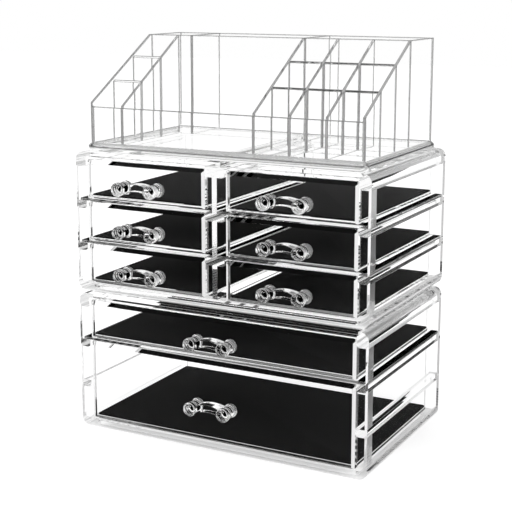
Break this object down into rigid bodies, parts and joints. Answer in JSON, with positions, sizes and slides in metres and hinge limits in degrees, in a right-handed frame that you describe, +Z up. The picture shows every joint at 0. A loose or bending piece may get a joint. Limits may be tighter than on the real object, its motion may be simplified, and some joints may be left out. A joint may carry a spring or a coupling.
{
  "type": "stacking makeup organizer",
  "caption": "Clear plastic organizer in three stacked units: a case with wide drawers, a case with small drawers and an open sloping tray; black foam liners, arched handles.",
  "frame": {"origin": "centre of the whole object seen from above, handles included, on the face it stands on", "axes": "+Z up, drawers open towards -Y, +X to the right seen from the front"},
  "size_m": [0.24, 0.1616, 0.2988],
  "materials": {
    "clear_plastic": "clear injection-moulded polystyrene, polished",
    "handle_plastic": "clear injection-moulded polystyrene, polished",
    "liner_foam": "matt black foam pad with a short nap"
  },
  "bodies": {
    "bottom_unit": {"bottom_case": "clear_plastic", "bottom_shelf": "clear_plastic"},
    "middle_unit": {"middle_case": "clear_plastic", "centre_partition": "clear_plastic", "shelf_left_upper": "clear_plastic", "shelf_left_lower": "clear_plastic", "shelf_right_upper": "clear_plastic", "shelf_right_lower": "clear_plastic"},
    "tray_unit": {"tray_shell": "clear_plastic", "tray_cross_wall": "clear_plastic", "tray_left_rack": "clear_plastic", "tray_right_rack": "clear_plastic", "tray_back_divider_left": "clear_plastic", "tray_back_divider_right": "clear_plastic"},
    "wide_upper_unit": {"wide_upper_drawer": "clear_plastic", "wide_upper_handle": "handle_plastic", "wide_upper_liner": "liner_foam"},
    "wide_lower_unit": {"wide_lower_drawer": "clear_plastic", "wide_lower_handle": "handle_plastic", "wide_lower_liner": "liner_foam"},
    "left_top_unit": {"left_top_drawer": "clear_plastic", "left_top_handle": "handle_plastic", "left_top_liner": "liner_foam"},
    "left_mid_unit": {"left_mid_drawer": "clear_plastic", "left_mid_handle": "handle_plastic", "left_mid_liner": "liner_foam"},
    "left_low_unit": {"left_low_drawer": "clear_plastic", "left_low_handle": "handle_plastic", "left_low_liner": "liner_foam"},
    "right_top_unit": {"right_top_drawer": "clear_plastic", "right_top_handle": "handle_plastic", "right_top_liner": "liner_foam"},
    "right_mid_unit": {"right_mid_drawer": "clear_plastic", "right_mid_handle": "handle_plastic", "right_mid_liner": "liner_foam"},
    "right_low_unit": {"right_low_drawer": "clear_plastic", "right_low_handle": "handle_plastic", "right_low_liner": "liner_foam"}
  },
  "joints": [
    {"name": "middle_unit_lift", "type": "slide", "parent": "bottom_unit", "child": "middle_unit", "axis": [0, 0, 1], "range_m": [0, 0.03]},
    {"name": "tray_lift", "type": "slide", "parent": "middle_unit", "child": "tray_unit", "axis": [0, 0, 1], "range_m": [0, 0.03]},
    {"name": "wide_upper_slide", "type": "slide", "parent": "bottom_unit", "child": "wide_upper_unit", "axis": [0, -1, 0], "range_m": [0, 0.12]},
    {"name": "wide_lower_slide", "type": "slide", "parent": "bottom_unit", "child": "wide_lower_unit", "axis": [0, -1, 0], "range_m": [0, 0.12]},
    {"name": "left_top_slide", "type": "slide", "parent": "middle_unit", "child": "left_top_unit", "axis": [0, -1, 0], "range_m": [0, 0.12]},
    {"name": "left_mid_slide", "type": "slide", "parent": "middle_unit", "child": "left_mid_unit", "axis": [0, -1, 0], "range_m": [0, 0.12]},
    {"name": "left_low_slide", "type": "slide", "parent": "middle_unit", "child": "left_low_unit", "axis": [0, -1, 0], "range_m": [0, 0.12]},
    {"name": "right_top_slide", "type": "slide", "parent": "middle_unit", "child": "right_top_unit", "axis": [0, -1, 0], "range_m": [0, 0.12]},
    {"name": "right_mid_slide", "type": "slide", "parent": "middle_unit", "child": "right_mid_unit", "axis": [0, -1, 0], "range_m": [0, 0.12]},
    {"name": "right_low_slide", "type": "slide", "parent": "middle_unit", "child": "right_low_unit", "axis": [0, -1, 0], "range_m": [0, 0.12]}
  ]
}
